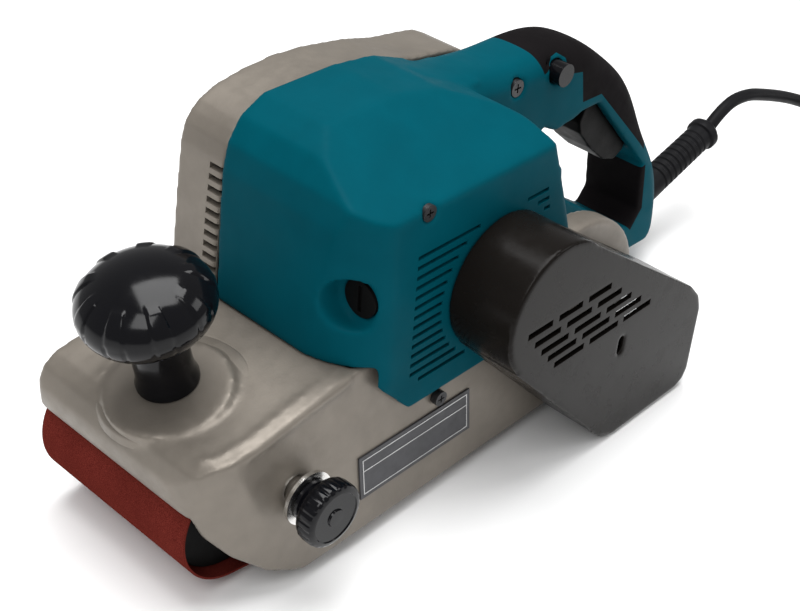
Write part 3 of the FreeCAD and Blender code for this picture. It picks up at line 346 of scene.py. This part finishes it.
def abrasive_cloth():
    """Closed-coat grit on cloth."""
    paint = Paint("abrasive_cloth", (0.16, 0.043, 0.035), 0.82, specular=0.0)
    grit = paint.noise(2600, 2.0)
    patches = paint.noise(24)
    color = paint.ramp(grit, (0.08, 0.012, 0.009), (0.21, 0.036, 0.027), 0.35, 0.72)
    worn = paint.ramp(patches, (0.80, 0.78, 0.78), (1.0, 1.0, 1.0))
    mix = paint.tree.nodes.new("ShaderNodeMix")
    mix.data_type = "RGBA"
    mix.blend_type = "MULTIPLY"
    mix.inputs["Factor"].default_value = 1.0
    paint.link(color, mix.inputs["A"])
    paint.link(worn, mix.inputs["B"])
    paint.link(mix.outputs["Result"], paint.shader.inputs["Base Color"])
    paint.bump([(grit, 1.0)], 0.18)
    return paint.material


def soft_rubber(name, color, roughness, grain=0.05):
    paint = Paint(name, color, roughness, specular=0.05)
    paint.mottled(40, 0.10)
    paint.uneven_gloss(120, 0.07)
    paint.bump([(paint.noise(1100), 1.0)], grain)
    return paint.material


def wound_copper():
    paint = Paint("wound_copper", (0.45, 0.16, 0.06), 0.35, 1.0)
    paint.mottled(200, 0.2)
    paint.bump([(paint.noise(300, 2.0, (1, 6, 1)), 1.0)], 0.3)
    return paint.material


def cork_board():
    paint = Paint("cork_board", (0.32, 0.18, 0.09), 0.85)
    color = paint.ramp(paint.noise(420), (0.16, 0.08, 0.04), (0.42, 0.26, 0.14))
    paint.link(color, paint.shader.inputs["Base Color"])
    paint.bump([(paint.noise(420), 1.0)], 0.2)
    return paint.material


MATERIALS = {
    "cast": cast_metal("cast_aluminium", (0.190, 0.168, 0.142), 0.44, 0.42),
    "teal": moulded("teal_plastic", (0.0, 0.062, 0.086), 0.50, 0.02, 0.02),
    "black_gloss": moulded("black_gloss_plastic", (0.003, 0.003, 0.004), 0.13, 0.004, 0.20),
    "black_matte": moulded("black_matt_plastic", (0.0045, 0.0045, 0.0045), 0.45, 0.03, 0.05),
    "hood_plastic": moulded("hood_plastic", (0.007, 0.0058, 0.005), 0.24, 0.008, 0.08),
    "soft_grip": soft_rubber("soft_grip", (0.0055, 0.0045, 0.005), 0.75),
    "abrasive": abrasive_cloth(),
    "steel": turned_metal("turned_steel", (0.50, 0.50, 0.50), 0.30),
    "dark_steel": turned_metal("black_oxide_steel", (0.030, 0.030, 0.032), 0.38, 0.6),
    "bright_trim": turned_metal("bright_trim", (0.72, 0.71, 0.69), 0.18),
    "plate_metal": turned_metal("plate_metal", (0.05, 0.05, 0.055), 0.40, 0.4),
    "rubber": soft_rubber("drum_rubber", (0.015, 0.015, 0.015), 0.65, 0.1),
    "cork": cork_board(),
    "graphite": soft_rubber("graphite_cloth", (0.03, 0.03, 0.034), 0.5),
    "copper": wound_copper(),
    "cord_rubber": soft_rubber("cord_sheath", (0.010, 0.010, 0.011), 0.42, 0.02),
    "brass": turned_metal("brass", (0.55, 0.40, 0.16), 0.28),
}
for node, piece in nodes.items():
    piece.data.materials.clear()
    piece.data.materials.append(MATERIALS[slot_of[node]])
    shade_smooth(piece.data, 30)

# ---------------------------------------------------------------- casting
KNOB_FOOT = Vector((-105, -6, 88.75))
KNOB_LEAN = math.radians(12)
KNOB_AXIS = Vector((-math.sin(KNOB_LEAN), 0, math.cos(KNOB_LEAN)))
DECK_TOP = 94.5


def deck_height(x):
    """Height of the casting's deck, which slopes down to the nose."""
    return DECK_TOP if x > -56 else DECK_TOP + (x + 56) * 11 / 68


def ridge(points, radius, proud):
    """Round bars let into the deck along a line of plan points."""
    places = [(x, y, deck_height(x) - radius + proud) for x, y in points]
    return [("bar", a, b, radius, 16) for a, b in zip(places, places[1:])]


def add_casting():
    shoulder = ridge([(-50, -55.5), (-80, -56.5), (-104, -57), (-120, -55), (-126, -50)], 2.6, 1.0)
    shoulder += ridge([(-50, -61.5), (-80, -62), (-104, -62.5), (-117, -60.5)], 2.2, -0.6)
    nose = ridge([(-124, 20), (-112, 24), (-100, 34), (-96, 46)], 2.4, 0.6)
    softened("casting_shell", ["main_frame"], MATERIALS["cast"], 1.3, 12, shoulder + nose, 0.4)


def seat_lobe(radius, way, turn):
    """Draws the seat's outer rim out to a soft corner towards the housing."""
    share = max(0.0, (radius - 22) / 9)
    corner = max(0.0, math.cos(turn - math.radians(-40))) ** 6
    return radius * (1 + 0.10 * corner * share), way


def add_knob_seat():
    """The stepped ring that the knob stands on."""
    profile = [(12, -3), (12, 0.2), (15.6, 0.2), (16.2, 0.0), (16.8, -0.7), (19, -0.9), (24.5, -1.2),
               (26, -1.6), (26.8, -2.6), (27.2, -2.7), (31, -3.0), (32.2, -3.7), (32.8, -5.0), (33.4, -8.5)]
    mesh = lathe(profile, KNOB_FOOT - KNOB_AXIS * 0.35, KNOB_AXIS, 128, seat_lobe)
    shade_smooth(mesh, 50)
    piece = bpy.data.objects.new("knob_seat_rings", mesh)
    bpy.context.scene.collection.objects.link(piece)
    mesh.materials.append(MATERIALS["cast"])
    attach(piece, "sander")


add_casting()
add_knob_seat()

# ---------------------------------------------------------------- housing and handle in one coloured moulding
RUBBER_OUTLINE = [(109, 200), (190, 200), (270, 120), (234, 94.5), (224.5, 87), (172, 139.5), (156, 140),
                  (152, 158.5), (140, 161), (138, 170), (133, 173.5), (128, 173), (125, 168), (120, 167)]
LINING_OUTLINE = [(228.3, 76), (232.4, 45.2), (223.6, 33.6), (219.6, 37.6), (228, 45.6), (224.2, 74)]
CUP_CENTRE, CUP_RADIUS = (36.5, 110.4), 34.0


def louvres():
    """Level cooling grooves in the near side, as wide as the cup of the hood leaves room for."""
    pitch, half, clear = 5.2, 1.1, CUP_RADIUS + 4
    grooves = []
    for i in range(15):
        z = 72.0 + i * pitch
        left, right = (-20.0 if z > 80 else -14.0), 76.0 - (z - 112) * 0.25
        spans = [(left, right)] if z > CUP_CENTRE[1] else []
        if abs(z - CUP_CENTRE[1]) < clear:
            reach = math.sqrt(clear ** 2 - (z - CUP_CENTRE[1]) ** 2)
            spans = [(left, CUP_CENTRE[0] - reach)]
            if z > 124:
                spans.append((CUP_CENTRE[0] + reach, right))
        grooves += [("box", (a, -72, z - half), (b, -67.4, z + half)) for a, b in spans if b - a > 4]
    return grooves


def add_teal_shell():
    near_side = ("box", (-24, -69.4, 68), (78, -66.8, 152))
    bridge = ("prism", [(52, 172), (62, 179), (74, 178), (92, 140), (98, 104), (84, 100)], -19, 15)
    shell = softened("teal_shell", ["motor_housing", "handle_near", "handle_far", "grip_rubber"],
                     MATERIALS["teal"], 1.2, 14, (near_side, bridge), 0.4)
    skin = bpy.data.objects.new("grip_skin", shell.data.copy())
    bpy.context.scene.collection.objects.link(skin)
    skin.data.materials.clear()
    skin.data.materials.append(MATERIALS["soft_grip"])
    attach(skin, "sander")
    rubber = [("prism", RUBBER_OUTLINE, -30, 30), ("prism", LINING_OUTLINE, -30, 30)]
    combined(skin, "rubber_area", rubber, "INTERSECT")
    # without this bore the lock button would overlap the shell
    lock_bore = ("bar", (131, -30, 165), (131, -12.5, 165), 6.4)
    cut_out(shell, "grooves", louvres() + rubber + [lock_bore])


add_teal_shell()

# ---------------------------------------------------------------- far cover
def add_far_cover():
    front_wall = [(-56.2, 105.5), (-52.8, 138), (-49.5, 162), (-46.2, 162), (-49.6, 138), (-53, 105.5)]
    plugs = [("prism", front_wall, 20.1, 31), ("box", (-16, 47.1, 104), (56, 49.9, 150))]
    cover = softened("far_cover_shell", ["far_cover"], MATERIALS["cast"], 1.1, 10, plugs, 0.4)
    slots = [("box", (-60, 20.6, 108 + 5.5 * i), (-45, 29, 111 + 5.5 * i)) for i in range(10)]
    for left in (-14, 40):
        slots += [("box", (left, 46, 108 + 6 * i), (left + 14, 51, 111 + 6 * i)) for i in range(7)]
    cut_out(cover, "cover_slots", slots)


add_far_cover()

# ---------------------------------------------------------------- belt hood
def hood_slots():
    slots = []
    gap = 4.5
    for row, low in enumerate((104.3, 97.2, 90.2, 83.7, 77.2)):
        left, right = 15 + 5.8 * row, 76 + 9.5 * row
        length = (right - left - 2 * gap) / 3
        for i in range(3):
            start = left + i * (length + gap)
            slots.append(("box", (start, -108, low), (start + length, -102, low + 3.5)))
    return slots


def add_hood():
    plug = ("prism", [(13.5, 108.6), (77.5, 108.6), (116, 76.4), (36.5, 76.4)], -105.9, -103.6)
    hood = softened("hood_shell", ["belt_hood"], MATERIALS["hood_plastic"], 0.9, 9, (plug,), 0.4)
    cut_out(hood, "slots", hood_slots())


add_hood()

# ---------------------------------------------------------------- knobs
def add_front_knob():
    radius, half_height, centre, lugs = 30.0, 18.2, 46.0, 9
    profile = [(4.1, 0), (13.6, 0), (14.2, 0.6), (14.2, 2.2), (13.4, 4.5), (12.9, 9), (12.8, 18)]
    start = math.acos(12.8 / radius)
    for i in range(41):
        turn = -start + (math.pi / 2 + start) * i / 40
        profile.append((radius * math.cos(turn) if i < 40 else 0, centre + half_height * math.sin(turn)))

    def lugged(r, way, turn):
        """Flat lugs round the rim of the cap, and shallow channels below them."""
        beside = abs((turn * lugs / (2 * math.pi) + 0.35) % 1 - 0.5) * 2
        if way > centre + 2 and 0.66 * radius < r:
            rise = 0.9 * min(1.0, max(0.0, (0.42 - beside) / 0.06))
            fade = min(1.0, (r / radius - 0.66) / 0.03)
            return r + rise * fade * 0.3, way + rise * fade
        if way > centre - 12 and r > 0.8 * radius:
            return r - 0.5 * min(1.0, max(0.0, (0.10 - abs(beside - 0.42)) / 0.05)), way
        return r, way

    mesh = lathe(profile, KNOB_FOOT, KNOB_AXIS, 216, lugged)
    shade_smooth(mesh, 32)
    add_piece("front_knob_moulding", mesh, MATERIALS["black_gloss"], "front_knob")


def add_tracking_knob():
    """A fluted head on a grooved neck."""
    profile = [(4, -16.1), (9.2, -16.1), (10.0, -16.9), (10.0, -18.6), (9.0, -19.4), (9.0, -20.4),
               (10.2, -21.2), (12.2, -22), (14.4, -22.8), (15.3, -24), (15.5, -25.5), (15.5, -30.2),
               (15.0, -31.5), (13.6, -32.3), (12.4, -32.5), (11.9, -32.0), (4.4, -32.0), (4.0, -32.8),
               (0, -32.9)]

    def fluted(r, way, turn):
        return (r - 0.45 * max(0.0, math.cos(turn * 24)) if r > 15.2 else r), way

    mesh = lathe(profile, (-85, -58, 53), (0, 1, 0), 240, fluted)
    shade_smooth(mesh, 40)
    add_piece("tracking_knob_moulding", mesh, MATERIALS["black_gloss"], "tracking_knob")


add_front_knob()
add_tracking_knob()


# ---------------------------------------------------------------- plate, trigger, guard and plug
def add_plate_lines():
    """A thin raised frame with one dividing line on the plate of the flank."""
    lean = math.atan(0.11)
    spot = Matrix.Translation(Vector((0, -69.54, 26)) * MM) @ Matrix.Rotation(-lean, 4, "X")
    work = bmesh.new()
    left, right, low, high, line = -46.3, 24.7, 2.0, 21.0, 0.5
    for x0, x1, z0, z1 in ((left, right, low, low + line), (left, right, high - line, high),
                           (left, left + line, low + line, high - line),
                           (right - line, right, low + line, high - line),
                           (left + line, right - line, 14.5, 14.5 + line)):
        add_box(work, (x0, -1.0, z0), (x1, -0.7, z1))
    bmesh.ops.transform(work, matrix=spot, verts=work.verts)
    mesh = bpy.data.meshes.new("plate_lines")
    work.to_mesh(mesh)
    work.free()
    mesh.materials.append(MATERIALS["steel"])
    piece = bpy.data.objects.new("plate_lines", mesh)
    bpy.context.scene.collection.objects.link(piece)
    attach(piece, "sander")


def add_soft_pieces():
    softened("trigger_paddle", ["trigger"], MATERIALS["black_matte"], 0.7, 8, (), 0.5)
    softened("plug_moulding", ["plug_body"], MATERIALS["cord_rubber"], 0.7, 10, (), 0.5)


def add_guard():
    """Tapered guard with grooves that let it flex, and a collar at its end."""
    root, axis, length = Vector((245.04, -2, 30.72)), Vector((0.96, 0, 0.28)).normalized(), 86.0
    profile = [(6.9, -19.9), (6.9, 0), (9.2, 0)]
    for i in range(9):
        way = 30 + i * 5.0
        skin = 9.1 - way * 0.006
        profile += [(skin, way), (8.0, way + 0.7), (8.0, way + 1.7), (skin, way + 2.4)]
    profile += [(8.6, 78), (10.0, 78.6), (10.2, 79.4), (10.2, 82.6), (10.0, 83.4), (9, 84.4), (8, 85.6),
                (4.05, length)]
    mesh = lathe([(0, -19.9)] + profile, root, axis, 72)
    shade_smooth(mesh, 40)
    add_piece("guard_moulding", mesh, MATERIALS["cord_rubber"], "cord_guard")


add_plate_lines()
add_soft_pieces()
add_guard()

# ---------------------------------------------------------------- mains cord and coil
CORD_ROUTE = [(327.6, -2, 54.8), (343, -2, 66), (366, -3, 67), (392, -4, 58.5), (419, -6, 48.5),
              (445, -10, 36.5), (469, -16, 23.5), (491, -24, 11.5), (511, -32.5, 5.0)]
TAIL_ROUTE = [(490, -150, 11.2), (466, -149.5, 9), (444, -150, 7.1), (424, -151, 7)]
CORD_DIAMETER = 8.0


def coil_points():
    """Four turns in on the surface, then four turns out on top of them."""
    centre, outer, inner = Vector((507, -92)), 58.0, 26.0
    steps, turns = 20, 4
    start, end = math.radians(65), math.radians(-90)
    middle = 0.43
    total = 2 * turns + middle
    count = round(total * steps)
    points = []
    for i in range(count + 1):
        turn = total * i / count
        angle = start + (end - start - 2 * math.pi * 8) * i / count
        if turn < turns:
            radius, height = outer - (outer - inner) * turn / turns, 4.1
        elif turn < turns + middle:
            share = (turn - turns) / middle
            radius, height = inner, 4.1 + CORD_DIAMETER * (3 - 2 * share) * share ** 2
        else:
            radius = inner + (outer - inner) * (turn - turns - middle) / turns
            height = 4.1 + CORD_DIAMETER
        points.append((centre.x + radius * math.cos(angle), centre.y + radius * math.sin(angle), height))
    return points


def add_cord():
    data = bpy.data.curves.new("cord_line", "CURVE")
    data.dimensions = "3D"
    data.bevel_depth = CORD_DIAMETER / 2 * MM
    data.bevel_resolution = 6
    data.use_fill_caps = True
    data.resolution_u = 6
    points = CORD_ROUTE + coil_points() + TAIL_ROUTE
    line = data.splines.new("NURBS")
    line.points.add(len(points) - 1)
    for point, place in zip(line.points, points):
        point.co = (*(Vector(place) * MM), 1)
    line.order_u = 3
    line.use_endpoint_u = True
    cord = bpy.data.objects.new("mains_lead", data)
    bpy.context.scene.collection.objects.link(cord)
    data.materials.append(MATERIALS["cord_rubber"])
    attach(cord, "sander")
    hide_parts("mains_cord", "cord_coil")


add_cord()


# ---------------------------------------------------------------- studio
# name, place, width in metres and power in watts
LAMPS = [("overhead", (0.1, 0.1, 2.0), 1.4, 48), ("key", (-0.9, -0.5, 1.3), 0.7, 9),
         ("edge", (0.9, -0.9, 0.9), 0.5, 3)]


def add_studio():
    work = bmesh.new()
    side = 6.0
    corners = [work.verts.new((x * side, y * side, -0.0006)) for x, y in ((-1, -1), (1, -1), (1, 1), (-1, 1))]
    work.faces.new(corners)
    mesh = bpy.data.meshes.new("floor")
    work.to_mesh(mesh)
    work.free()
    floor = bpy.data.objects.new("floor", mesh)
    bpy.context.scene.collection.objects.link(floor)
    paint = Paint("floor_paper", (0.92, 0.92, 0.92), 0.9)
    paint.mottled(3, 0.01)
    mesh.materials.append(paint.material)
    world = bpy.data.worlds.new("studio")
    world.use_nodes = True
    world.node_tree.nodes["Background"].inputs["Color"].default_value = (1, 1, 1, 1)
    world.node_tree.nodes["Background"].inputs["Strength"].default_value = 0.36
    bpy.context.scene.world = world
    middle = Vector((0.05, 0, 0.08))
    for name, place, width, power in LAMPS:
        light = bpy.data.lights.new(name, "AREA")
        light.size = width
        light.energy = power
        lamp = bpy.data.objects.new(name, light)
        lamp.location = place
        lamp.rotation_euler = (middle - Vector(place)).to_track_quat("-Z", "Y").to_euler()
        bpy.context.scene.collection.objects.link(lamp)


add_studio()
